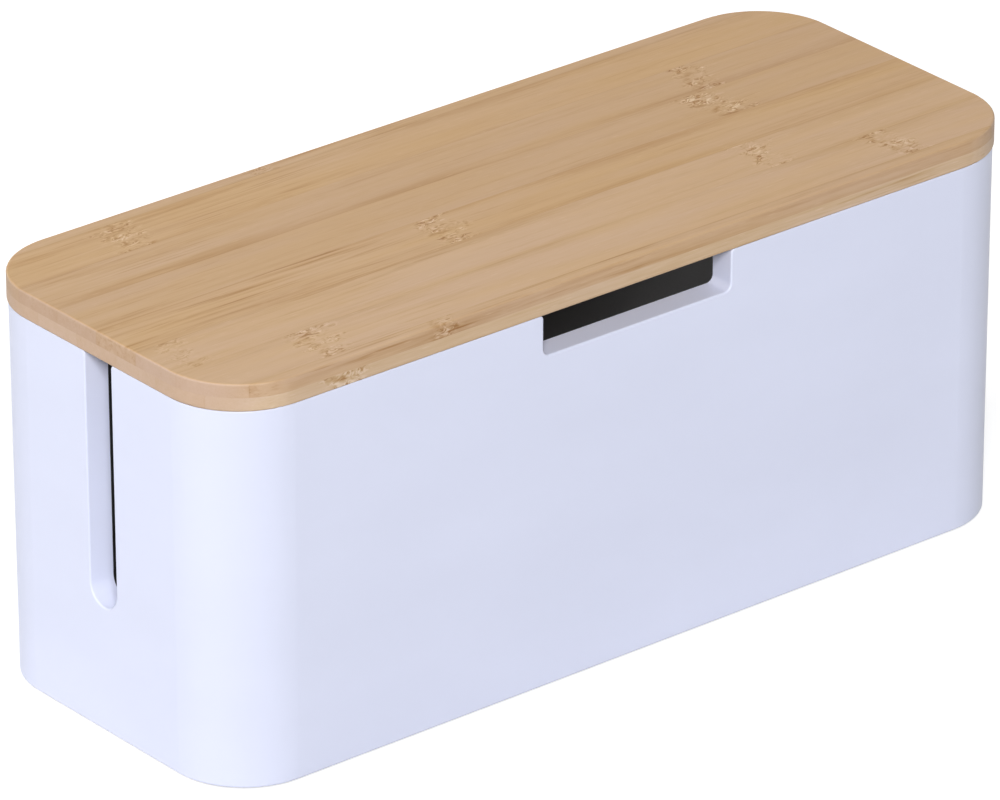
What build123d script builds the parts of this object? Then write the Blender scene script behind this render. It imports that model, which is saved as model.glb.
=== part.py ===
from build123d import *
import math
import os

# Cable management box: a white double-walled body under a lift-off bamboo lid.
# Millimetres. +X runs along the box, -Y is the front with the wide notch, +Z is up.
# The origin is on the surface that the box stands on, under the middle of the lid.

# ---------------------------------------------------------------------------
# Driving sizes
# ---------------------------------------------------------------------------

# Lid board
LID_LENGTH = 320.0
LID_WIDTH = 125.6
LID_CORNER = 27.0          # plan radius of the four corners
UPPER_PLY = 4.5
LOWER_PLY = 4.6
LID_TOP_ROUND = 0.7        # sanded edge round the top
LID_BOTTOM_ROUND = 0.7     # and round the underside
UPPER_REAR_LATH = 5.0      # what trimming leaves of the rearmost lath in the upper ply
UPPER_FRONT_LATH = 4.2     # and of the foremost
UPPER_WHOLE_LATHS = 6      # between those two
LOWER_REAR_LATH = 14.7     # the lower ply is staggered by half a lath
LOWER_FRONT_LATH = 13.9
LOWER_WHOLE_LATHS = 5

# Body
LID_OVERHANG = 0.5         # all round, at the rim
SHELL_HEIGHT = 126.65
LEAN = 0.7                 # how far each side leans in between the rim and the base
SHELL_WALL = 2.5
RIM_WIDTH = 8.8            # also the depth of the jambs in the notch and the slots
RIM_THICKNESS = 2.5
JAMB_WALL = 2.0            # the return behind each jamb face
MOUTH_CORNER = 28.0        # plan radius of the mouth inside the rim
OUTER_EDGE_ROUND = 0.6     # rim, notch and slot edges on the outside
BASE_EDGE_ROUND = 0.8

# Notch in the front, open at the rim
NOTCH_WIDTH = 74.7
NOTCH_DEPTH = 13.9
NOTCH_CORNER = 2.5

# Slot in each end, open at the rim, with a round bottom
SLOT_WIDTH = 13.0
SLOT_DEPTH = 84.1

MOUTH_EASE = 1.5           # eased corner where notch and slots run out at the rim

# Liner
LINER_WALL = 2.0
LINER_FLOOR_FILLET = 3.0
LINER_GAP = 0.25           # between the liner and any face of the shell beside it
BASE_PLATE = 3.0
BASE_RECESS = 0.5          # the base plate sits this far above the shell's lower edge

# Screws that close the body from below
BOSS_RADIUS = 3.4
BOSS_HEIGHT = 13.0
BOSS_MERGE = 0.4           # how far a boss runs into the shell's wall
BASE_SHANK_RADIUS = 1.4
BASE_SHANK_LENGTH = 11.0
BASE_HEAD_RADIUS = 2.7
BASE_HEAD_HEIGHT = 1.5
COUNTERBORE_DEPTH = 1.6
COUNTERBORE_GAP = 0.4      # round the screw's head
SHANK_GAP = 0.05           # round a shank in its pilot hole
CLEARANCE_GAP = 0.3        # round a shank in the piece it passes through

# Feet
FOOT_RADIUS = 9.0
FOOT_STAND = 0.8           # how far the feet lift the shell's edge
FOOT_RECESS = 0.8
FOOT_GAP = 0.3
FOOT_EDGE_ROUND = 0.5

# Blocks under the lid's corners
BLOCK_LENGTH = 34.0
BLOCK_WIDTH = 24.0
BLOCK_HEIGHT = 5.0
BLOCK_GAP = 1.2            # play between the blocks and the mouth
BLOCK_ROUND = 0.8
BLOCK_SHANK_RADIUS = 1.3
BLOCK_SCREW_LENGTH = 8.8
BLOCK_HEAD_RADIUS = 2.6

# Screw details that both kinds share
RECESS_WIDTH = 0.7
RECESS_SPAN = 2.8
RECESS_DEPTH = 0.8
TIP_LENGTH = 1.2
PILOT_ALLOWANCE = 0.6      # a pilot hole runs this much past the screw's tip

# ---------------------------------------------------------------------------
# Sizes that follow
# ---------------------------------------------------------------------------

SHELL_LENGTH = LID_LENGTH - 2 * LID_OVERHANG
SHELL_WIDTH = LID_WIDTH - 2 * LID_OVERHANG
SHELL_CORNER = LID_CORNER - LID_OVERHANG
SHELL_BASE_Z = FOOT_STAND
RIM_Z = SHELL_BASE_Z + SHELL_HEIGHT
PLY_JOINT_Z = RIM_Z + LOWER_PLY
LID_TOP_Z = PLY_JOINT_Z + UPPER_PLY
LID_THICKNESS = LOWER_PLY + UPPER_PLY
FLANGE_Z = RIM_Z - RIM_THICKNESS
PLATE_Z = SHELL_BASE_Z + BASE_RECESS
FLOOR_Z = PLATE_Z + BASE_PLATE
LINER_TOP_Z = FLANGE_Z - LINER_GAP
DRAFT_ANGLE = math.degrees(math.atan2(LEAN, SHELL_HEIGHT))

# Centre of the plan arcs at the front right corner, the same for the shell at any height
ARC_X = SHELL_LENGTH / 2 - SHELL_CORNER
ARC_Y = SHELL_WIDTH / 2 - SHELL_CORNER

CORNERS = {
    "front_left": (-1, -1),
    "front_right": (1, -1),
    "rear_left": (-1, 1),
    "rear_right": (1, 1),
}

MARGIN = 10.0              # how far cutting tools stand outside what they cut
ON_FACE = 0.02             # a point this near a face counts as on it

os.makedirs("parts", exist_ok=True)


def save(name, shape):
    """Write one node, named after the piece."""
    shape.label = name
    export_step(shape, "parts/" + name + ".step")


# ---------------------------------------------------------------------------
# Shared shapes
# ---------------------------------------------------------------------------

def lean_at(z):
    """How far the sides have leaned in at a height."""
    return LEAN * (RIM_Z - z) / SHELL_HEIGHT


def drafted_block(inset, corner, low, high):
    """A block inside the shell's outline, with the shell's lean.

    inset and corner are its distance from the shell's outline and its corner radius at the rim.
    """
    drawn_in = lean_at(high)
    size_x = SHELL_LENGTH - 2 * (inset + drawn_in)
    size_y = SHELL_WIDTH - 2 * (inset + drawn_in)
    sketch = RectangleRounded(size_x, size_y, corner - drawn_in)
    hanging = extrude(sketch, amount=high - low, taper=DRAFT_ANGLE)
    return Pos(0, 0, high) * Rot(180, 0, 0) * hanging


def eased_mouth(width):
    """What an opening needs above and beside it, so that its corners at the rim are eased."""
    span = width + 2 * MOUTH_EASE
    sketch = Pos(0, MARGIN / 2) * Rectangle(span, MARGIN)
    sketch += Pos(0, -MOUTH_EASE / 2) * Rectangle(span, MOUTH_EASE)
    for side in (-1, 1):
        sketch -= Pos(side * span / 2, -MOUTH_EASE) * Circle(MOUTH_EASE)
    return sketch


def notch_outline(grow):
    """The notch, seen from the front with the rim at height 0, larger by grow all round."""
    depth = NOTCH_DEPTH + grow
    sketch = Pos(0, (MARGIN - depth) / 2) * Rectangle(NOTCH_WIDTH + 2 * grow, MARGIN + depth)
    return fillet(sketch.vertices().group_by(Axis.Y)[0], NOTCH_CORNER + grow)


def slot_outline(grow):
    """An end slot, seen from its end with the rim at height 0, larger by grow all round."""
    radius = SLOT_WIDTH / 2 + grow
    centre = SLOT_DEPTH - SLOT_WIDTH / 2
    sketch = Pos(0, (MARGIN - centre) / 2) * Rectangle(2 * radius, MARGIN + centre)
    return sketch + Pos(0, -centre) * Circle(radius)


FRONT = Plane(origin=(0, 0, RIM_Z), x_dir=(1, 0, 0), z_dir=(0, -1, 0))
LEFT = Plane(origin=(0, 0, RIM_Z), x_dir=(0, -1, 0), z_dir=(-1, 0, 0))
RIGHT = Plane(origin=(0, 0, RIM_Z), x_dir=(0, 1, 0), z_dir=(1, 0, 0))


def openings(grow, mouths):
    """The notch and both slots as cutting tools, from inside the box to outside it.

    With mouths they also ease the corners where the openings run out at the rim.
    """
    notch = notch_outline(grow)
    slot = slot_outline(grow)
    if mouths:
        notch += eased_mouth(NOTCH_WIDTH)
        slot += eased_mouth(SLOT_WIDTH)
    across = SHELL_WIDTH / 2 + MARGIN
    along = SHELL_LENGTH / 2 + MARGIN
    reach = RIM_WIDTH + LEAN + 2 * MARGIN
    return [
        extrude(FRONT.offset(across - reach) * notch, amount=reach),
        extrude(LEFT.offset(along - reach) * slot, amount=reach),
        extrude(RIGHT.offset(along - reach) * slot, amount=reach),
    ]


def screw_shank(radius, length):
    """A plain shank along +Z from height 0, pointed at its far end."""
    shank = Pos(0, 0, length / 2) * Cylinder(radius, length)
    return chamfer(shank.edges().group_by(Axis.Z)[-1], TIP_LENGTH, radius - SHANK_GAP)


def cross_recess(face_z):
    """The driver's cross, cut upwards from the face of a screw's head."""
    bar = Box(RECESS_SPAN, RECESS_WIDTH, RECESS_DEPTH, align=(Align.CENTER, Align.CENTER, Align.MIN))
    return Pos(0, 0, face_z) * (bar + Rot(0, 0, 90) * bar)


# ---------------------------------------------------------------------------
# Body
# ---------------------------------------------------------------------------

def boss_centre(side_x, side_y):
    """A boss stands in the corner, a little way into the shell's wall."""
    wall_arc = SHELL_CORNER - LEAN - SHELL_WALL
    reach = (wall_arc - BOSS_RADIUS + BOSS_MERGE) * math.sqrt(0.5)
    return side_x * (ARC_X + reach), side_y * (ARC_Y + reach)


def make_outer_shell():
    """White sleeve: drafted walls, inward rim, jamb returns and four screw bosses."""
    block = drafted_block(0, SHELL_CORNER, SHELL_BASE_Z, RIM_Z)
    hollow = drafted_block(SHELL_WALL, SHELL_CORNER - SHELL_WALL, SHELL_BASE_Z, FLANGE_Z)
    mouth = drafted_block(RIM_WIDTH, MOUTH_CORNER, SHELL_BASE_Z, RIM_Z)
    solid_rim = block - mouth
    shell = solid_rim - hollow
    for opening in openings(JAMB_WALL, False):
        shell += solid_rim & opening
    for opening in openings(0, True):
        shell -= opening
    for side_x, side_y in CORNERS.values():
        x, y = boss_centre(side_x, side_y)
        boss = Pos(x, y, FLOOR_Z + BOSS_HEIGHT / 2) * Cylinder(BOSS_RADIUS, BOSS_HEIGHT)
        pilot_depth = BASE_SHANK_LENGTH - (FLOOR_Z - screw_seat_z()) + PILOT_ALLOWANCE
        pilot = Pos(x, y, FLOOR_Z + pilot_depth / 2) * Cylinder(BASE_SHANK_RADIUS + SHANK_GAP, pilot_depth)
        shell = shell + boss - pilot
    shell = fillet(outer_edges(shell), OUTER_EDGE_ROUND)
    return fillet(base_edges(shell), BASE_EDGE_ROUND)


def on_outside(edge):
    """Whether an edge lies on the shell's leaning outer faces."""
    for share in (0, 0.25, 0.5, 1):
        point = edge.position_at(share)
        inward = lean_at(point.Z)
        arc = SHELL_CORNER - inward
        beyond_x = max(abs(point.X) - ARC_X, 0)
        beyond_y = max(abs(point.Y) - ARC_Y, 0)
        if abs(math.hypot(beyond_x, beyond_y) - arc) > ON_FACE:
            return False
    return True


def outer_edges(shell):
    """The rim's outer edge and the outer edges of the notch and slots, one smooth chain."""
    lowest = RIM_Z - SLOT_DEPTH - SLOT_WIDTH
    above = [edge for edge in shell.edges() if edge.center().Z > lowest and on_outside(edge)]
    return [edge for edge in above if not is_corner_seam(edge)]


def base_edges(shell):
    """The shell's outer edge at the base."""
    low = [edge for edge in shell.edges() if abs(edge.center().Z - SHELL_BASE_Z) < ON_FACE]
    return [edge for edge in low if on_outside(edge)]


def is_corner_seam(edge):
    """Whether an edge only divides a flat side from a round corner."""
    start = edge.position_at(0)
    end = edge.position_at(1)
    return abs(start.Z - end.Z) > SHELL_HEIGHT / 2 and abs(start.Y) > SLOT_WIDTH


def screw_seat_z():
    """Height of the face that a base screw's head bears on."""
    return PLATE_Z + COUNTERBORE_DEPTH


def make_inner_liner():
    """Charcoal tub on a base plate that closes the shell from below."""
    outside = drafted_block(RIM_WIDTH - LINER_WALL, MOUTH_CORNER + LINER_WALL, PLATE_Z, LINER_TOP_Z)
    inside = drafted_block(RIM_WIDTH, MOUTH_CORNER, FLOOR_Z, LINER_TOP_Z)
    inside = fillet(inside.edges().group_by(Axis.Z)[0], LINER_FLOOR_FILLET)
    plate_inset = SHELL_WALL + LEAN + LINER_GAP
    plate = extrude(
        RectangleRounded(
            SHELL_LENGTH - 2 * plate_inset, SHELL_WIDTH - 2 * plate_inset, SHELL_CORNER - plate_inset
        ),
        amount=BASE_PLATE,
    )
    liner = outside + Pos(0, 0, PLATE_Z) * plate - inside
    for opening in openings(JAMB_WALL + LINER_GAP, False):
        liner -= opening
    for side_x, side_y in CORNERS.values():
        x, y = boss_centre(side_x, side_y)
        bore = Cylinder(BASE_SHANK_RADIUS + CLEARANCE_GAP, 4 * BASE_PLATE)
        counterbore = Cylinder(BASE_HEAD_RADIUS + COUNTERBORE_GAP, 2 * COUNTERBORE_DEPTH)
        liner -= Pos(x, y, PLATE_Z) * bore
        liner -= Pos(x, y, PLATE_Z) * counterbore
        liner -= Pos(side_x * ARC_X, side_y * ARC_Y, PLATE_Z) * Cylinder(FOOT_RADIUS + FOOT_GAP, 2 * FOOT_RECESS)
    return liner


def make_base_screws():
    """Four pan-head screws, heads down in their counterbores."""
    shank = screw_shank(BASE_SHANK_RADIUS, BASE_SHANK_LENGTH)
    head = Pos(0, 0, -BASE_HEAD_HEIGHT / 2) * Cylinder(BASE_HEAD_RADIUS, BASE_HEAD_HEIGHT)
    head = fillet(head.edges().group_by(Axis.Z)[0], BASE_HEAD_HEIGHT / 2)
    screw = head + shank - cross_recess(-BASE_HEAD_HEIGHT)
    screws = []
    for side_x, side_y in CORNERS.values():
        x, y = boss_centre(side_x, side_y)
        screws.append(Pos(x, y, screw_seat_z()) * screw)
    return Compound(children=screws)


def make_foot(side_x, side_y):
    """A rubber pad, glued into its recess under the base plate."""
    height = PLATE_Z + FOOT_RECESS
    foot = Pos(side_x * ARC_X, side_y * ARC_Y, height / 2) * Cylinder(FOOT_RADIUS, height)
    return fillet(foot.edges().group_by(Axis.Z)[0], FOOT_EDGE_ROUND)


# ---------------------------------------------------------------------------
# Lid
# ---------------------------------------------------------------------------

def block_centre(side_x, side_y):
    """Middle of a corner block, and of its screw."""
    x = SHELL_LENGTH / 2 - RIM_WIDTH - BLOCK_GAP - BLOCK_LENGTH / 2
    y = SHELL_WIDTH / 2 - RIM_WIDTH - BLOCK_GAP - BLOCK_WIDTH / 2
    return side_x * x, side_y * y


def block_head_height():
    """Height of a countersunk head whose sides slope at 45 degrees."""
    return BLOCK_HEAD_RADIUS - BLOCK_SHANK_RADIUS


def make_lid_board():
    """The trimmed and sanded board, before it is divided into its laths."""
    board = extrude(RectangleRounded(LID_LENGTH, LID_WIDTH, LID_CORNER), amount=LID_THICKNESS)
    board = fillet(board.edges().group_by(Axis.Z)[-1], LID_TOP_ROUND)
    board = fillet(board.edges().group_by(Axis.Z)[0], LID_BOTTOM_ROUND)
    board = Pos(0, 0, RIM_Z) * board
    pilot_depth = BLOCK_SCREW_LENGTH - BLOCK_HEIGHT + PILOT_ALLOWANCE
    for side_x, side_y in CORNERS.values():
        x, y = block_centre(side_x, side_y)
        board -= Pos(x, y, RIM_Z) * Cylinder(BLOCK_SHANK_RADIUS + SHANK_GAP, 2 * pilot_depth)
    return board


def slab(low, high):
    """Everything between two heights, wider than the lid."""
    size_x = LID_LENGTH + 2 * MARGIN
    size_y = LID_WIDTH + 2 * MARGIN
    return Pos(0, 0, (low + high) / 2) * Box(size_x, size_y, high - low)


def cut_laths(ply, prefix, rear_lath, front_lath, whole_laths):
    """Divide one ply of the board into laths, numbered from the rear."""
    width = (LID_WIDTH - rear_lath - front_lath) / whole_laths
    first_joint = LID_WIDTH / 2 - rear_lath
    joints = [first_joint - width * i for i in range(whole_laths + 1)]
    cuts = [LID_WIDTH / 2 + MARGIN] + joints + [-LID_WIDTH / 2 - MARGIN]
    for number in range(1, len(cuts)):
        rear = cuts[number - 1]
        front = cuts[number]
        strip = Pos(0, (rear + front) / 2, RIM_Z) * Box(LID_LENGTH + 2 * MARGIN, rear - front, 4 * MARGIN)
        save(prefix + str(number), ply & strip)


def make_block(side_x, side_y):
    """A corner block that follows the mouth's corner, countersunk for its screw."""
    x, y = block_centre(side_x, side_y)
    plan = RectangleRounded(
        SHELL_LENGTH - 2 * (RIM_WIDTH + BLOCK_GAP),
        SHELL_WIDTH - 2 * (RIM_WIDTH + BLOCK_GAP),
        MOUTH_CORNER - BLOCK_GAP,
    )
    plan &= Pos(x, y) * Rectangle(BLOCK_LENGTH, BLOCK_WIDTH)
    block = extrude(plan, amount=BLOCK_HEIGHT)
    block = fillet(block.edges().group_by(Axis.Z)[0], BLOCK_ROUND)
    head = Pos(0, 0, block_head_height() / 2) * Cone(
        BLOCK_HEAD_RADIUS + SHANK_GAP, BLOCK_SHANK_RADIUS + SHANK_GAP, block_head_height()
    )
    bore = Cylinder(BLOCK_SHANK_RADIUS + SHANK_GAP, 3 * BLOCK_HEIGHT)
    block = block - Pos(x, y, 0) * head - Pos(x, y, 0) * bore
    return Pos(0, 0, RIM_Z - BLOCK_HEIGHT) * block


def make_block_screws():
    """Four countersunk screws, heads flush with the undersides of the blocks."""
    head_height = block_head_height()
    shank = screw_shank(BLOCK_SHANK_RADIUS, BLOCK_SCREW_LENGTH)
    head = Pos(0, 0, head_height / 2) * Cone(BLOCK_HEAD_RADIUS, BLOCK_SHANK_RADIUS, head_height)
    screw = shank + head - cross_recess(0)
    screws = []
    for side_x, side_y in CORNERS.values():
        x, y = block_centre(side_x, side_y)
        screws.append(Pos(x, y, RIM_Z - BLOCK_HEIGHT) * screw)
    return Compound(children=screws)


# ---------------------------------------------------------------------------
# Write every piece
# ---------------------------------------------------------------------------

save("outer_shell", make_outer_shell())
save("inner_liner", make_inner_liner())
save("base_screws", make_base_screws())

lid_board = make_lid_board()
upper_ply = lid_board & slab(PLY_JOINT_Z, LID_TOP_Z + MARGIN)
lower_ply = lid_board & slab(RIM_Z - MARGIN, PLY_JOINT_Z)
cut_laths(upper_ply, "top_lath_", UPPER_REAR_LATH, UPPER_FRONT_LATH, UPPER_WHOLE_LATHS)
cut_laths(lower_ply, "lower_lath_", LOWER_REAR_LATH, LOWER_FRONT_LATH, LOWER_WHOLE_LATHS)
save("lid_block_screws", make_block_screws())

for corner, (toward_x, toward_y) in CORNERS.items():
    save("foot_" + corner, make_foot(toward_x, toward_y))
    save("lid_block_" + corner, make_block(toward_x, toward_y))
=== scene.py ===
"""Looks of the cable management box: materials, soft light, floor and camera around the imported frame."""

import math
from collections import namedtuple

import bpy
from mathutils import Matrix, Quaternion, Vector


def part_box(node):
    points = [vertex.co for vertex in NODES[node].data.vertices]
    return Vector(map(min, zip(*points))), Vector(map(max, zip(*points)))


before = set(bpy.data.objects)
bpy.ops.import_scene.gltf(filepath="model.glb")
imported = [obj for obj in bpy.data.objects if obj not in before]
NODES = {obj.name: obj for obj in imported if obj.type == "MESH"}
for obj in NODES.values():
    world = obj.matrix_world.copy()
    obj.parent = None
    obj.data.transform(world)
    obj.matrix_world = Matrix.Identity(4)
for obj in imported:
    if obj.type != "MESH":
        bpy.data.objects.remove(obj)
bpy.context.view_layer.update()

# Metres, unless a name says otherwise. Patterns inside the materials are worked out in millimetres.
MM_PER_METRE = 1000.0

# Camera: a long lens above the front left corner.
CAMERA_AZIMUTH_DEG = -39.294
CAMERA_ELEVATION_DEG = 25.688
CAMERA_ROLL_DEG = -0.112
CAMERA_AIM = (-0.00028, 0.00407, 0.06309)
CAMERA_DISTANCE = 3.01174
SENSOR_WIDTH_MM = 36.0
LENS_MM = 347.41

# Light: a dim dome and three round softboxes, the main one low on the camera's side. An azimuth of 0 is
# straight in front and one of 90 is on the right, as for the camera. A softbox's strength is how bright it
# makes a white surface that faces it at the origin.
DOME_HORIZON = 0.28
DOME_ZENITH = 0.15
Softbox = namedtuple("Softbox", "azimuth_deg elevation_deg distance width strength")
SOFTBOXES = {
    "main_softbox": Softbox(-38.0, 35.0, 7.0, 2.2, 0.83),
    "left_softbox": Softbox(-125.0, 33.0, 3.0, 1.6, 0.35),
    "rear_softbox": Softbox(162.0, 8.0, 4.0, 2.4, 0.32),
}
# Weak fills inside the box, so that its charcoal walls and the jambs read through the notch and the slots.
Fill = namedtuple("Fill", "place power radius")
FILLS = {
    "right_fill": Fill((0.136, -0.003, 0.052), 0.044, 0.020),
    "left_fill": Fill((-0.118, -0.034, 0.060), 0.020, 0.012),
}
WHITE = (1.0, 1.0, 1.0, 1.0)
# The floor, and how much light of its own it shows to the camera, which makes it white around the shadow.
FLOOR_SIZE = 14.0
FLOOR_COLOUR = (0.62, 0.62, 0.62, 1.0)
FLOOR_LIFT = 0.60

SHELL_COLOUR = (0.713, 0.745, 0.908)
LINER_COLOUR = (0.085, 0.083, 0.083)
RUBBER_COLOUR = (0.020, 0.020, 0.022)
STEEL_COLOUR = (0.62, 0.61, 0.58)

# How deep each surface texture is, in metres.
SHELL_WAVES_DEPTH = 0.00012
SHELL_GRAIN_DEPTH = 0.000012
LINER_GRAIN_DEPTH = 0.00003
RUBBER_PEBBLE_DEPTH = 0.00004
STEEL_MARKS_DEPTH = 0.00001
BAMBOO_RELIEF_DEPTH = 0.00004

# A pattern of random spots: how many of them fit in a millimetre along X, Y and Z, how many finer layers it
# has and how strong those are.
Pattern = namedtuple("Pattern", "pace detail roughness", defaults=(2.0, 0.5))
SHELL_GRAIN = Pattern((3.2, 3.2, 3.2), 3.0, 0.6)
SHELL_FLOW = Pattern((0.012, 0.012, 0.03))
SHELL_PATCHES = Pattern((0.25, 0.25, 0.25))
LINER_GRAIN = Pattern((2.2, 2.2, 2.2), 4.0, 0.65)
LINER_PATCHES = Pattern((0.05, 0.05, 0.05))
RUBBER_DUST = Pattern((0.6, 0.6, 0.6), 3.0)
STEEL_MOTTLE = Pattern((0.9, 0.9, 0.9), 3.0)
STEEL_MARKS = Pattern((6.0, 6.0, 0.6))
# The layers of plain bamboo, from broad bands to fine fibres, all drawn out along X.
BAMBOO_BANDS = Pattern((0.010, 0.24, 0.24))
BAMBOO_STRIPS = Pattern((0.018, 0.60, 0.60))
BAMBOO_LINES = Pattern((0.026, 0.90, 0.90))
BAMBOO_FIBRES = Pattern((0.12, 2.2, 2.2))
# Slow changes: where the figure sways, how strong the side shades are, and the hue.
BAMBOO_DRIFT = Pattern((0.012, 0.12, 0.12), 1.0)
BAMBOO_WANING = Pattern((0.013, 1.0, 1.0), 1.0)
BAMBOO_HUE = Pattern((0.012, 0.09, 0.09))
# Knots: how ragged a band is, its rust, and the curls and clumps of its strands.
KNOT_EDGE = Pattern((0.07, 0.40, 0.40))
KNOT_RUST_SPOTS = Pattern((0.15, 0.35, 0.35))
KNOT_SWIRL = Pattern((0.20, 0.30, 0.30), 1.0)
KNOT_STRANDS = Pattern((0.27, 1.00, 1.00))
KNOT_CLUMPS = Pattern((0.13, 0.24, 0.24), 1.0)
# Patterns of cells: how many fit in a millimetre along X, Y and Z.
RUBBER_PEBBLES = (2.5, 2.5, 2.5)
BAMBOO_FLECKS = (0.16, 1.6, 1.6)

# A knot band crosses its lath at place_mm along X; lean is how far it slants per millimetre of width.
Knot = namedtuple("Knot", "place_mm half_length_mm lean strength")
# How one lath looks: its plain colour, how strong its streaks are, between which two places along X they
# crowd, how dark its rear and front sides turn, and its knots.
Lath = namedtuple("Lath", "colour streaks crowded_mm rear_shade front_shade knots")

GOLDEN = (0.582, 0.373, 0.197)
HONEY = (0.572, 0.371, 0.208)
BLOND = (0.588, 0.386, 0.222)
PINK = (0.607, 0.404, 0.240)
PALE = (0.630, 0.445, 0.285)
CREAM = (0.620, 0.430, 0.268)
# The dark and the pale fibres of a lath, as shares of its plain colour.
DARK_FIBRE = (0.80, 0.72, 0.56)
PALE_FIBRE = (1.10, 1.16, 1.25)
# How a ply's sawn long sides and its end grain differ from its face, as shares of the colour.
Ply = namedtuple("Ply", "side end_grain")
UPPER_PLY = Ply((0.94, 0.96, 1.03), (0.92, 0.98, 1.26))
LOWER_PLY = Ply((1.00, 1.05, 1.17), (0.92, 0.94, 1.11))
# The two ends of the colour scale: the rusty hollows and the palest strands of knots.
KNOT_RUST = (0.340, 0.165, 0.058)
KNOT_CREAM = (0.740, 0.560, 0.370)
# The two tints between which the hue slowly changes along and across the laths.
GOLDEN_TINT = (1.0, 0.990, 0.940)
PINK_TINT = (1.0, 1.008, 1.055)

TOP_LATHS = (
    Lath(HONEY, 1.0, (-60.0, 60.0), 0.0, 0.3, (Knot(-51.0, 6.0, 0.0, 0.8),)),
    Lath(GOLDEN, 1.0, (-150.0, -20.0), 0.5, 0.1, (Knot(-112.6, 7.5, 0.1, 1.0),)),
    Lath(HONEY, 0.9, (-165.0, -90.0), 0.2, 0.7, (Knot(100.0, 6.0, 0.2, 1.0),)),
    Lath(HONEY, 0.8, (-155.0, -110.0), 0.2, 0.2, (Knot(91.6, 7.0, -0.35, 1.1),)),
    Lath(GOLDEN, 1.3, (-175.0, -42.0), 0.4, 0.4, (Knot(-33.7, 6.5, 0.15, 1.3),)),
    Lath(PINK, 0.7, (-110.0, -60.0), 0.6, 0.2, (Knot(77.9, 6.0, 0.0, 0.9), Knot(-150.0, 5.0, 0.0, 0.5))),
    Lath(PINK, 0.7, (-110.0, -60.0), 0.4, 0.1, (Knot(-112.0, 7.5, 0.1, 1.0), Knot(115.2, 6.0, -0.1, 0.9))),
    Lath(BLOND, 1.3, (-150.0, 15.0), 0.5, 0.0, (Knot(-76.8, 6.0, 0.0, 1.0),)),
)
LOWER_LATHS = (
    Lath(PALE, 0.8, (-40.0, 60.0), 0.2, 0.2, (Knot(62.0, 6.0, 0.1, 0.8),)),
    Lath(CREAM, 0.9, (0.0, 90.0), 0.3, 0.1, (Knot(-94.0, 6.5, 0.0, 0.9),)),
    Lath(PALE, 0.7, (-90.0, 0.0), 0.2, 0.2, (Knot(128.0, 6.0, -0.1, 0.8), Knot(-141.0, 6.0, 0.1, 0.7))),
    Lath(CREAM, 1.0, (40.0, 150.0), 0.3, 0.3, (Knot(14.0, 7.0, 0.1, 0.9),)),
    Lath(PALE, 0.8, (-30.0, 60.0), 0.1, 0.3, (Knot(-58.0, 6.0, -0.1, 0.8),)),
    Lath(CREAM, 0.9, (-120.0, -20.0), 0.2, 0.2, (Knot(105.0, 6.5, 0.2, 0.9),)),
    Lath(PALE, 0.8, (20.0, 120.0), 0.2, 0.1, (Knot(-114.0, 7.5, 0.0, 1.7),)),
)
BLOCK_LATH = Lath(HONEY, 0.9, (-160.0, 160.0), 0.0, 0.0, ())

# Each lath has a seed, which moves its patterns this far in millimetres, so that no two laths look alike.
SEED_STEP_MM = (173.0, 31.0, 17.0)
# The same for the slow change of its side shades, in units of that noise.
SEED_STEP_SIDES = 9.0
TOP_SEED = 0
LOWER_SEED = 20
BLOCK_SEED = 40

# Tone runs from 0 for dark to 1 for pale. These add to it.
GLUE_TONE = -0.08
SIDE_TONE = -0.22
# The next one is a painted highlight: pale tone added on the rounded upper edge of the two ends.
EDGE_HIGHLIGHT_TONE = 0.12
KNOT_RIM_TONE = -0.20
STRAND_TONE = 0.36
HOLLOW_TONE = -0.30
FLECK_TONE = 0.15
LINE_TONE = -0.18
GLUE_WIDTH_MM = 0.35
# Where a lath's side shade begins, as a share of its half width.
SIDE_START = 0.35
# How strong streaks are inside and outside the crowded stretch, and between which distances from its ends
# they fade, below 0 inside it.
CROWDED_GAIN = 1.25
SPARSE_GAIN = 0.45
CROWD_FADE_MM = (-20.0, 15.0)
# The whole spread of how the ends of that stretch waver, how the figure sways and how strands swirl.
CROWD_WAVER_MM = 90.0
SWAY_MM = 2.0
SWIRL_MM = 9.0


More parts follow.
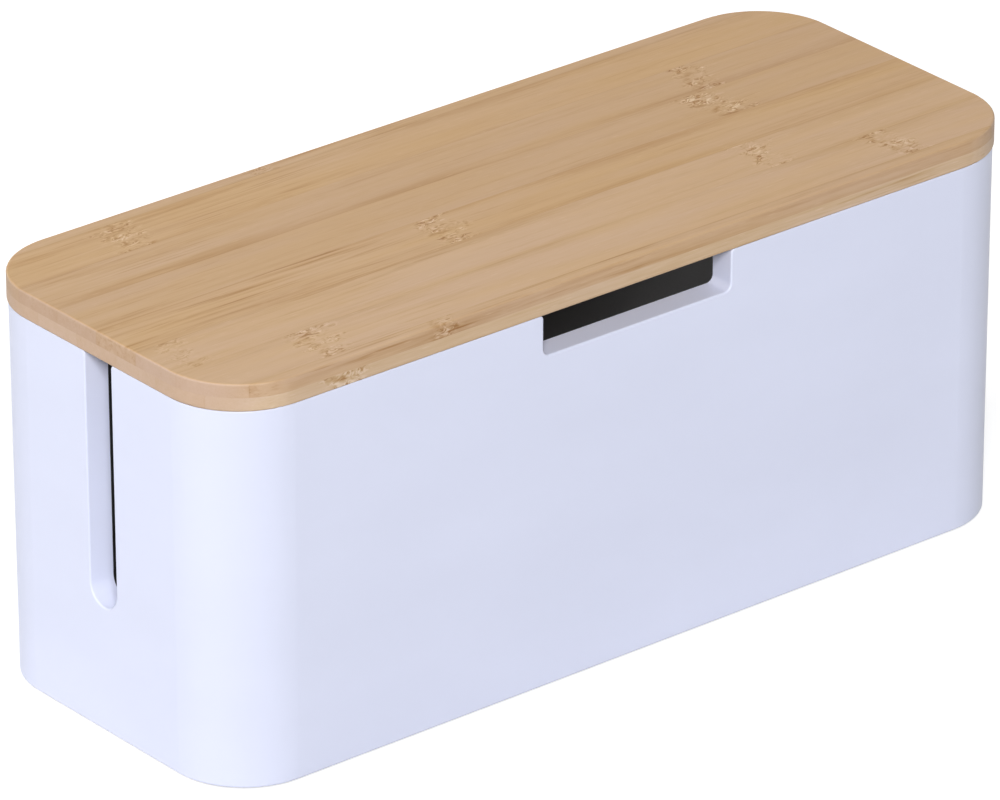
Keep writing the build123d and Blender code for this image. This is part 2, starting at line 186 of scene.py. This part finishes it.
class Graph:
    """The nodes of one material or world, added and linked by short calls."""

    def __init__(self, owner):
        owner.use_nodes = True
        self.owner = owner
        self.tree = owner.node_tree
        self.tree.nodes.clear()

    def put(self, value, socket):
        """Links an output to a socket, or writes a constant on it."""
        if isinstance(value, bpy.types.NodeSocket):
            self.tree.links.new(value, socket)
        else:
            socket.default_value = value

    def node(self, kind, *values, **settings):
        """A node with its first inputs filled in order."""
        made = self.tree.nodes.new("ShaderNode" + kind)
        for name, value in settings.items():
            setattr(made, name, value)
        for value, socket in zip(values, made.inputs):
            self.put(value, socket)
        return made

    def math(self, operation, *values):
        return self.node("Math", *values, operation=operation).outputs[0]

    def stretch(self, point, factors):
        return self.node("VectorMath", point, factors, operation="MULTIPLY").outputs[0]

    def shift(self, point, offset):
        return self.node("VectorMath", point, offset, operation="ADD").outputs[0]

    def point_mm(self):
        """Place on the object at rest, in millimetres."""
        place = self.node("TexCoord").outputs["Object"]
        return self.stretch(place, (MM_PER_METRE,) * 3)

    def noise(self, point, pattern):
        """A pattern's value at a point in millimetres, from 0 to 1 and mostly near 0.5."""
        made = self.node("TexNoise", self.stretch(point, pattern.pace))
        made.inputs["Scale"].default_value = 1.0
        made.inputs["Detail"].default_value = pattern.detail
        made.inputs["Roughness"].default_value = pattern.roughness
        return made.outputs[0]

    def cells(self, point, pace):
        """Voronoi cells: the distance to the nearest centre, and the cell's random value."""
        made = self.node("TexVoronoi", self.stretch(point, pace))
        made.inputs["Scale"].default_value = 1.0
        value = self.node("SeparateColor", made.outputs["Color"]).outputs[0]
        return made.outputs["Distance"], value

    def ease(self, value, low, high, start=0.0, end=1.0):
        """A smooth step from start to end while value goes from low to high."""
        made = self.node("MapRange", value, interpolation_type="SMOOTHSTEP")
        for name, number in (("From Min", low), ("From Max", high), ("To Min", start), ("To Max", end)):
            made.inputs[name].default_value = number
        return made.outputs[0]

    def around(self, value, middle, spread):
        """A value that runs from 0 to 1, spread out evenly around a middle one."""
        return self.math("MULTIPLY_ADD", value, spread, middle - 0.5 * spread)

    def ramp(self, factor, stops):
        """The colour at factor on a scale of colours, each stop a place from 0 to 1 with its colour."""
        made = self.node("ValToRGB", factor)
        elements = made.color_ramp.elements
        for place, colour in stops[1:-1]:
            elements.new(place).color = (*colour, 1.0)
        for element, (place, colour) in ((elements[0], stops[0]), (elements[-1], stops[-1])):
            element.position = place
            element.color = (*colour, 1.0)
        return made.outputs[0]

    def mix(self, factor, first, second, blend="MIX"):
        """Two colours mixed. A Mix node has its colours on inputs 6 and 7 and on output 2."""
        made = self.node("Mix", data_type="RGBA", blend_type=blend)
        self.put(factor, made.inputs["Factor"])
        self.put(first, made.inputs[6])
        self.put(second, made.inputs[7])
        return made.outputs[2]

    def bump(self, height, depth, normal=None):
        """Relief of that depth, in metres, where height goes from 0 to 1."""
        made = self.node("Bump")
        made.inputs["Distance"].default_value = depth
        self.put(height, made.inputs["Height"])
        if normal is not None:
            self.put(normal, made.inputs["Normal"])
        return made.outputs[0]

    def seen(self):
        """1 where the camera sees this directly, mirrored or through glass, else 0."""
        path = self.node("LightPath")
        seen = self.math("MAXIMUM", path.outputs["Is Camera Ray"], path.outputs["Is Glossy Ray"])
        return self.math("MAXIMUM", seen, path.outputs["Is Transmission Ray"])

    def output(self, kind, shader):
        """Ends the graph with that shader as its surface."""
        made = self.node(kind)
        self.put(shader.outputs[0], made.inputs["Surface"])

    def finish(self, **inputs):
        """Ends a material with a Principled shader; names are its sockets with _ for spaces."""
        shader = self.node("BsdfPrincipled")
        for name, value in inputs.items():
            self.put(value, shader.inputs[name.replace("_", " ")])
        self.output("OutputMaterial", shader)
        return self.owner


def new_graph(name):
    """The graph of a new material."""
    return Graph(bpy.data.materials.new(name))


def shade(colour, factor):
    """A colour made lighter or darker, as three numbers."""
    return tuple(min(channel * factor, 1.0) for channel in colour)


def tinted(colour, shares):
    """A colour with each channel taken at its own share."""
    return tuple(min(channel * share, 1.0) for channel, share in zip(colour, shares))


def make_shell_plastic():
    """White satin moulding: a fine eroded texture, faint flow tint and a slow waviness of the large walls."""
    graph = new_graph("shell_white")
    point = graph.point_mm()
    grain = graph.noise(point, SHELL_GRAIN)
    flow = graph.noise(point, SHELL_FLOW)
    patches = graph.noise(point, SHELL_PATCHES)
    colour = graph.ramp(flow, ((0.35, shade(SHELL_COLOUR, 0.985)), (0.65, shade(SHELL_COLOUR, 1.01))))
    roughness = graph.ease(graph.math("ADD", grain, patches), 0.7, 1.3, 0.40, 0.48)
    wavy = graph.bump(flow, SHELL_WAVES_DEPTH)
    normal = graph.bump(grain, SHELL_GRAIN_DEPTH, wavy)
    return graph.finish(Base_Color=colour, Roughness=roughness, Normal=normal, IOR=1.49)


def make_liner_plastic():
    """Charcoal moulding with a coarser spark-eroded texture."""
    graph = new_graph("liner_charcoal")
    point = graph.point_mm()
    grain = graph.noise(point, LINER_GRAIN)
    patches = graph.noise(point, LINER_PATCHES)
    colour = graph.ramp(patches, ((0.3, shade(LINER_COLOUR, 0.94)), (0.7, shade(LINER_COLOUR, 1.07))))
    roughness = graph.ease(grain, 0.35, 0.65, 0.5, 0.68)
    normal = graph.bump(grain, LINER_GRAIN_DEPTH)
    return graph.finish(Base_Color=colour, Roughness=roughness, Normal=normal, Specular_IOR_Level=0.4)


def make_rubber():
    """Black rubber, matt, with a fine pebble and patches of dust."""
    graph = new_graph("foot_rubber")
    point = graph.point_mm()
    distance, value = graph.cells(point, RUBBER_PEBBLES)
    dust = graph.noise(point, RUBBER_DUST)
    colour = graph.ramp(dust, ((0.35, RUBBER_COLOUR), (0.75, shade(RUBBER_COLOUR, 2.2))))
    roughness = graph.ease(value, 0.0, 1.0, 0.74, 0.9)
    normal = graph.bump(distance, RUBBER_PEBBLE_DEPTH)
    return graph.finish(Base_Color=colour, Roughness=roughness, Normal=normal)


def make_screw_steel():
    """Zinc-plated steel: faint mottled sheen and fine tool marks."""
    graph = new_graph("screw_steel")
    point = graph.point_mm()
    mottle = graph.noise(point, STEEL_MOTTLE)
    marks = graph.noise(point, STEEL_MARKS)
    colour = graph.ramp(mottle, ((0.3, shade(STEEL_COLOUR, 0.85)), (0.7, shade(STEEL_COLOUR, 1.08))))
    roughness = graph.ease(marks, 0.3, 0.7, 0.24, 0.42)
    normal = graph.bump(marks, STEEL_MARKS_DEPTH)
    return graph.finish(Base_Color=colour, Roughness=roughness, Normal=normal, Metallic=1.0)


def bamboo_fibres(graph, point, crowd):
    """The long figure of bamboo: its tone, with 0 dark, 0.5 plain and 1 pale, and its relief."""
    bands = graph.noise(point, BAMBOO_BANDS)
    strips = graph.noise(point, BAMBOO_STRIPS)
    fibres = graph.noise(point, BAMBOO_FIBRES)
    lines = graph.noise(point, BAMBOO_LINES)
    lines = graph.math("MULTIPLY", graph.ease(lines, 0.53, 0.74, 0.0, LINE_TONE), crowd)
    distance, cell = graph.cells(point, BAMBOO_FLECKS)
    near = graph.ease(distance, 0.10, 0.38, 1.0, 0.0)
    flecks = graph.math("MULTIPLY", near, graph.ease(cell, 0.80, 0.90))

    tone = graph.around(bands, 0.52, 0.22)
    tone = graph.math("ADD", tone, graph.math("MULTIPLY", graph.around(strips, 0.0, 0.42), crowd))
    tone = graph.math("ADD", tone, graph.around(fibres, 0.0, 0.20))
    tone = graph.math("ADD", tone, lines)
    tone = graph.math("MULTIPLY_ADD", flecks, FLECK_TONE, tone)
    relief = graph.math("ADD", graph.math("MULTIPLY", fibres, 0.5), lines)
    return tone, relief


def bamboo_sides(graph, along, across, half_width, lath, seed):
    """What darkens a lath towards its rear and front sides and in the thin glue line at each joint."""
    place = graph.node("CombineXYZ", along, seed * SEED_STEP_SIDES, 0.0).outputs[0]
    waning = graph.ease(graph.noise(place, BAMBOO_WANING), 0.35, 0.65, 0.35, 1.3)
    rear = graph.ease(across, SIDE_START * half_width, half_width, 0.0, SIDE_TONE * lath.rear_shade)
    front = graph.ease(across, -half_width, -SIDE_START * half_width, SIDE_TONE * lath.front_shade, 0.0)
    out = graph.math("ABSOLUTE", across)
    glue = graph.ease(out, half_width - GLUE_WIDTH_MM, half_width, 0.0, GLUE_TONE)
    return graph.math("MULTIPLY_ADD", graph.math("ADD", rear, front), waning, glue)


def bamboo_knot(graph, along, across, edge, knot):
    """A knot band: how strongly a point lies in it and in its soft rusty rim, up to the knot's strength."""
    slant = graph.math("MULTIPLY_ADD", across, -knot.lean, -knot.place_mm)
    wander = graph.around(edge, 0.0, 2.4 * knot.half_length_mm)
    reach = graph.math("ADD", graph.math("ADD", along, slant), wander)
    reach = graph.math("MULTIPLY", reach, 1.0 / knot.half_length_mm)
    band = graph.ease(graph.math("ABSOLUTE", reach), 0.4, 1.3, knot.strength, 0.0)
    rim = graph.math("ABSOLUTE", graph.math("ADD", reach, 0.45))
    rim = graph.ease(rim, 0.0, 0.55, knot.strength, 0.0)
    return band, rim


def bamboo_curls(graph, point):
    """The curled strands of a knot: above 0 on the pale ones, below 0 in the rusty hollows between."""
    swirl = graph.around(graph.noise(point, KNOT_SWIRL), 0.0, SWIRL_MM)
    curled = graph.shift(point, graph.node("CombineXYZ", swirl, swirl, swirl).outputs[0])
    strands = graph.noise(curled, KNOT_STRANDS)
    pale = graph.ease(strands, 0.52, 0.63, 0.0, STRAND_TONE)
    rusty = graph.ease(strands, 0.36, 0.48, HOLLOW_TONE, 0.0)
    clumps = graph.ease(graph.noise(point, KNOT_CLUMPS), 0.38, 0.58, 0.30, 1.30)
    return graph.math("MULTIPLY", graph.math("ADD", pale, rusty), clumps)


def bamboo_knots(graph, point, along, across, knots, tone, relief):
    """The tone and relief of a lath with its knots added."""
    edge = graph.noise(point, KNOT_EDGE)
    curls = bamboo_curls(graph, point)
    rust = graph.ease(graph.noise(point, KNOT_RUST_SPOTS), 0.42, 0.62)
    for knot in knots:
        band, rim = bamboo_knot(graph, along, across, edge, knot)
        tone = graph.math("MULTIPLY_ADD", band, curls, tone)
        tone = graph.math("MULTIPLY_ADD", graph.math("MULTIPLY", rim, rust), KNOT_RIM_TONE, tone)
        relief = graph.math("MULTIPLY_ADD", band, graph.math("MULTIPLY", curls, 0.4), relief)
    return tone, relief


def bamboo_crowding(graph, along, drift, lath):
    """How strong streaks are: stronger in the lath's crowded stretch, with wavering ends."""
    start, end = lath.crowded_mm
    middle, reach = 0.5 * (start + end), 0.5 * (end - start)
    away = graph.math("ABSOLUTE", graph.math("SUBTRACT", along, middle))
    away = graph.math("ADD", away, graph.around(drift, 0.0, CROWD_WAVER_MM))
    inner, outer = (reach + fade for fade in CROWD_FADE_MM)
    return graph.ease(away, inner, outer, CROWDED_GAIN * lath.streaks, SPARSE_GAIN * lath.streaks)


def bamboo_edge_highlight(graph, upward, endward):
    """Up to 1 on the rounded upper edge of the two ends, where a pale painted highlight goes, else 0."""
    sloping = graph.math("MULTIPLY", graph.ease(upward, 0.1, 0.4), graph.ease(upward, 0.8, 0.97, 1.0, 0.0))
    return graph.math("MULTIPLY", sloping, graph.ease(endward, 0.15, 0.35))


def bamboo_colour(graph, point, tone, sideward, endward, lath, ply):
    """The colour for a tone on faces, on sawn sides and on end grain."""
    plain = lath.colour
    dark = tinted(plain, DARK_FIBRE)
    pale = tinted(plain, PALE_FIBRE)
    scale = ((0.0, KNOT_RUST), (0.22, dark), (0.5, plain), (0.78, pale), (1.0, KNOT_CREAM))
    colour = graph.ramp(tone, scale)
    hue = graph.noise(point, BAMBOO_HUE)
    tint = graph.ramp(hue, ((0.38, GOLDEN_TINT), (0.62, PINK_TINT)))
    colour = graph.mix(1.0, colour, tint, blend="MULTIPLY")
    colour = graph.mix(graph.ease(sideward, 0.5, 0.9), colour, (*ply.side, 1.0), blend="MULTIPLY")
    grain = graph.ramp(tone, ((0.0, tinted(dark, ply.end_grain)), (1.0, tinted(pale, ply.end_grain))))
    return graph.mix(graph.ease(endward, 0.3, 0.9), colour, grain)


def make_bamboo(name, lath, ply, seed, low, high):
    """Pressed bamboo of one lath, which reaches from low to high in millimetres along Y.

    Fine fibres and darker lines run along X, crowded in one stretch. Each knot is a band of curled strands.
    """
    graph = new_graph(name)
    place = graph.point_mm()
    axes = graph.node("SeparateXYZ", place)
    along = axes.outputs[0]
    across = graph.math("SUBTRACT", axes.outputs[1], 0.5 * (low + high))
    point = graph.shift(place, [seed * step for step in SEED_STEP_MM])

    drift = graph.noise(point, BAMBOO_DRIFT)
    crowd = bamboo_crowding(graph, along, drift, lath)
    sway = graph.node("CombineXYZ", 0.0, graph.around(drift, 0.0, SWAY_MM), 0.0).outputs[0]
    tone, relief = bamboo_fibres(graph, graph.shift(point, sway), crowd)
    tone = graph.math("ADD", tone, bamboo_sides(graph, along, across, 0.5 * (high - low), lath, seed))
    if lath.knots:
        tone, relief = bamboo_knots(graph, point, along, across, lath.knots, tone, relief)

    facing = graph.node("SeparateXYZ", graph.node("TexCoord").outputs["Normal"])
    endward = graph.math("ABSOLUTE", facing.outputs[0])
    sideward = graph.math("ABSOLUTE", facing.outputs[1])
    # A pale painted highlight along the rounded upper edge of the two ends.
    painted_edge_highlight = bamboo_edge_highlight(graph, facing.outputs[2], endward)
    tone = graph.math("MULTIPLY_ADD", painted_edge_highlight, EDGE_HIGHLIGHT_TONE, tone)

    colour = bamboo_colour(graph, point, tone, sideward, endward, lath, ply)
    roughness = graph.ease(tone, 0.2, 0.8, 0.62, 0.52)
    normal = graph.bump(relief, BAMBOO_RELIEF_DEPTH)
    return graph.finish(Base_Color=colour, Roughness=roughness, Normal=normal, Specular_IOR_Level=0.2)


def dress(node, material):
    """Gives a CAD node its finish."""
    node.data.materials.clear()
    node.data.materials.append(material)


def dress_bamboo(name, lath, ply, seed):
    """Gives a lath or a block its own bamboo."""
    lowest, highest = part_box(name)
    low, high = lowest.y * MM_PER_METRE, highest.y * MM_PER_METRE
    dress(NODES[name], make_bamboo(f"bamboo_{name}", lath, ply, seed, low, high))


def dress_laths(prefix, laths, ply, first_seed):
    """Every lath of a ply, from the rear to the front."""
    for number, lath in enumerate(laths, start=1):
        dress_bamboo(f"{prefix}_{number}", lath, ply, first_seed + number)


def dress_all():
    """Every CAD node's finish."""
    dress(NODES["outer_shell"], make_shell_plastic())
    dress(NODES["inner_liner"], make_liner_plastic())
    steel = make_screw_steel()
    rubber = make_rubber()
    for name, node in NODES.items():
        if name.endswith("screws"):
            dress(node, steel)
        elif name.startswith("foot_"):
            dress(node, rubber)
        elif name.startswith("lid_block_"):
            dress_bamboo(name, BLOCK_LATH, LOWER_PLY, BLOCK_SEED + sorted(NODES).index(name))
    dress_laths("top_lath", TOP_LATHS, UPPER_PLY, TOP_SEED)
    dress_laths("lower_lath", LOWER_LATHS, LOWER_PLY, LOWER_SEED)


def make_floor():
    """A plain floor that the camera sees as white, with the object's shadow kept."""
    half = 0.5 * FLOOR_SIZE
    mesh = bpy.data.meshes.new("floor")
    corners = [(-half, -half, 0.0), (half, -half, 0.0), (half, half, 0.0), (-half, half, 0.0)]
    mesh.from_pydata(corners, [], [(0, 1, 2, 3)])
    floor = bpy.data.objects.new("floor", mesh)
    bpy.context.scene.collection.objects.link(floor)

    graph = new_graph("floor_paper")
    diffuse = graph.node("BsdfDiffuse", FLOOR_COLOUR)
    lift = graph.node("Emission", WHITE, graph.math("MULTIPLY", graph.seen(), FLOOR_LIFT))
    graph.output("OutputMaterial", graph.node("AddShader", diffuse.outputs[0], lift.outputs[0]))
    mesh.materials.append(graph.owner)


def make_world():
    """White where it is seen or mirrored, and a plain dome of light elsewhere, dimmer overhead than at the
    horizon.
    """
    world = bpy.data.worlds.new("studio")
    bpy.context.scene.world = world
    graph = Graph(world)
    direction = graph.node("TexCoord").outputs["Generated"]
    upward = graph.node("SeparateXYZ", direction).outputs[2]
    light = graph.ease(upward, 0.0, 1.0, DOME_HORIZON, DOME_ZENITH)
    strength = graph.math("MAXIMUM", graph.seen(), light)
    graph.output("OutputWorld", graph.node("Background", WHITE, strength))


def direction_from(azimuth_deg, elevation_deg):
    """The direction towards a place in the sky, from its azimuth and elevation."""
    azimuth = math.radians(azimuth_deg)
    elevation = math.radians(elevation_deg)
    level = math.cos(elevation)
    return Vector((math.sin(azimuth) * level, -math.cos(azimuth) * level, math.sin(elevation)))


def make_softbox(name, softbox):
    """A round area lamp that faces the origin, itself unseen."""
    light = bpy.data.lights.new(name, "AREA")
    light.shape = "DISK"
    light.size = softbox.width
    light.energy = softbox.strength * math.pi ** 2 * softbox.distance ** 2
    holder = bpy.data.objects.new(name, light)
    holder.rotation_mode = "QUATERNION"
    direction = direction_from(softbox.azimuth_deg, softbox.elevation_deg)
    holder.location = direction * softbox.distance
    holder.rotation_quaternion = (-direction).to_track_quat("-Z", "Y")
    holder.visible_camera = False
    bpy.context.scene.collection.objects.link(holder)


def make_fill(name, fill):
    """A weak fill inside the box, itself unseen."""
    light = bpy.data.lights.new(name, "POINT")
    light.energy = fill.power
    light.shadow_soft_size = fill.radius
    holder = bpy.data.objects.new(name, light)
    holder.location = fill.place
    holder.visible_camera = False
    holder.visible_glossy = False
    bpy.context.scene.collection.objects.link(holder)


def make_camera():
    """The camera, aimed at CAMERA_AIM from its azimuth and elevation, with a slight roll."""
    back = direction_from(CAMERA_AZIMUTH_DEG, CAMERA_ELEVATION_DEG)
    roll = Quaternion((0.0, 0.0, 1.0), math.radians(CAMERA_ROLL_DEG))
    lens = bpy.data.cameras.new("camera")
    lens.sensor_width = SENSOR_WIDTH_MM
    lens.lens = LENS_MM
    camera = bpy.data.objects.new("camera", lens)
    camera.rotation_mode = "QUATERNION"
    camera.rotation_quaternion = (-back).to_track_quat("-Z", "Y") @ roll
    camera.location = Vector(CAMERA_AIM) + back * CAMERA_DISTANCE
    bpy.context.scene.collection.objects.link(camera)
    bpy.context.scene.camera = camera


dress_all()
make_floor()
make_world()
for light_name, softbox in SOFTBOXES.items():
    make_softbox(light_name, softbox)
for light_name, fill in FILLS.items():
    make_fill(light_name, fill)
make_camera()
bpy.context.scene.view_settings.view_transform = "Standard"
